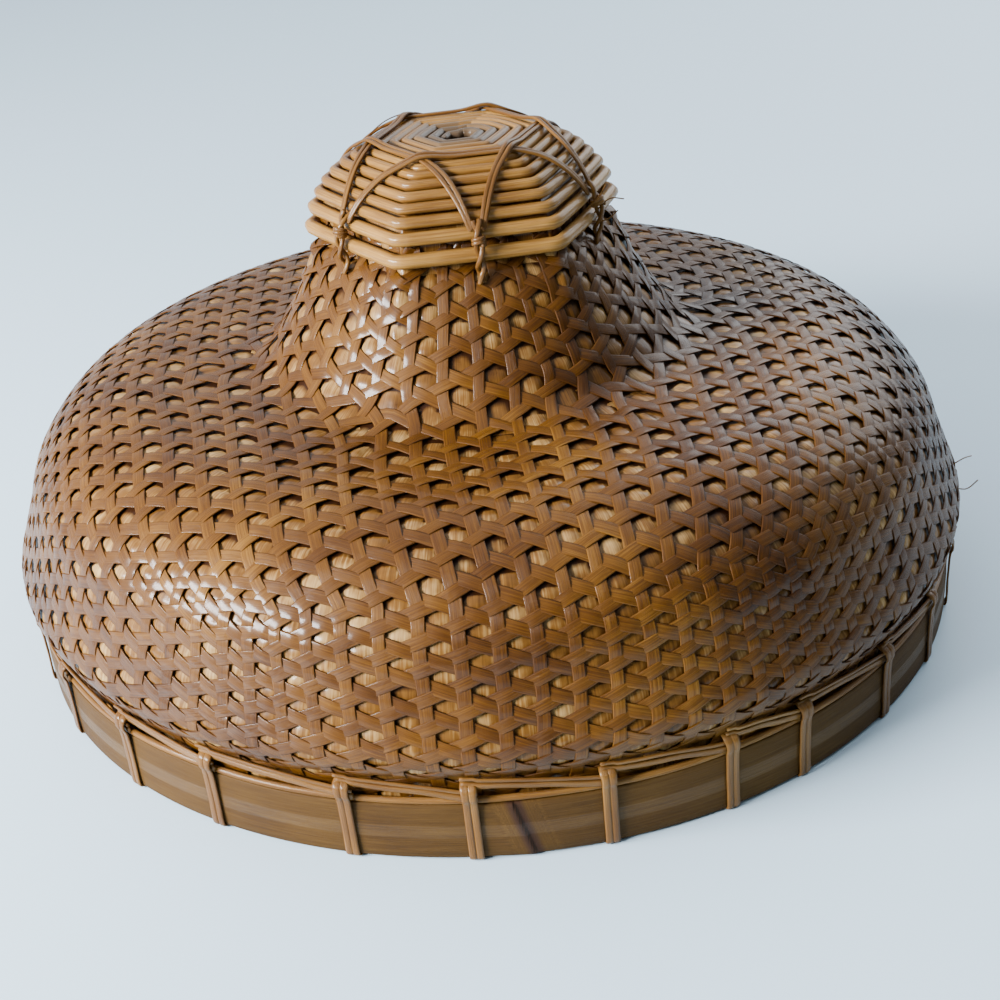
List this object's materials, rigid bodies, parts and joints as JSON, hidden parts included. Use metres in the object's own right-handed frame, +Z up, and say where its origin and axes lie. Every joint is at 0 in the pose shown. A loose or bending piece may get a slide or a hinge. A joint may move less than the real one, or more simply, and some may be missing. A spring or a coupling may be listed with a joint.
{
  "type": "rattan hat",
  "caption": "Broad-brimmed field hat of open hexagonal weave over a leaf lining, with a hexagonal coiled crown cap and a lashed rim band.",
  "frame": {"origin": "middle of the hat on the plane that the rim rests on", "axes": "+Z up along the hat's axis to the crown, -Y to the front knot of the cap"},
  "size_m": [0.406, 0.406, 0.2074],
  "materials": {
    "rattan_weave": "split rattan strips under brown varnish, glossy on the crests",
    "dried_leaf": "dried leaf with fine veins, satin",
    "rattan_rod": "round rattan rod, varnished",
    "rattan_strand": "thin split strand, varnished",
    "cane_band": "flat split cane with long grain, varnished"
  },
  "bodies": {
    "root": {"woven_body": "rattan_weave", "leaf_lining": "dried_leaf", "crown_coil": "rattan_rod", "crown_tie_1": "rattan_strand", "crown_tie_2": "rattan_strand", "crown_tie_3": "rattan_strand", "crown_tie_4": "rattan_strand", "crown_tie_5": "rattan_strand", "crown_tie_6": "rattan_strand", "crown_knot_1": "rattan_strand", "crown_knot_2": "rattan_strand", "crown_knot_3": "rattan_strand", "crown_knot_4": "rattan_strand", "crown_knot_5": "rattan_strand", "crown_knot_6": "rattan_strand", "rim_band": "cane_band", "rim_filler": "rattan_strand", "rim_binding_01": "rattan_strand", "rim_binding_02": "rattan_strand", "rim_binding_03": "rattan_strand", "rim_binding_04": "rattan_strand", "rim_binding_05": "rattan_strand", "rim_binding_06": "rattan_strand", "rim_binding_07": "rattan_strand", "rim_binding_08": "rattan_strand", "rim_binding_09": "rattan_strand", "rim_binding_10": "rattan_strand", "rim_binding_11": "rattan_strand", "rim_binding_12": "rattan_strand", "rim_binding_13": "rattan_strand", "rim_binding_14": "rattan_strand", "rim_binding_15": "rattan_strand", "rim_binding_16": "rattan_strand", "rim_binding_17": "rattan_strand", "rim_binding_18": "rattan_strand", "rim_binding_19": "rattan_strand", "rim_binding_20": "rattan_strand", "rim_binding_21": "rattan_strand", "rim_binding_22": "rattan_strand", "rim_binding_23": "rattan_strand", "rim_binding_24": "rattan_strand", "rim_binding_25": "rattan_strand", "rim_binding_26": "rattan_strand", "rim_binding_27": "rattan_strand", "rim_binding_28": "rattan_strand"}
  },
  "joints": []
}
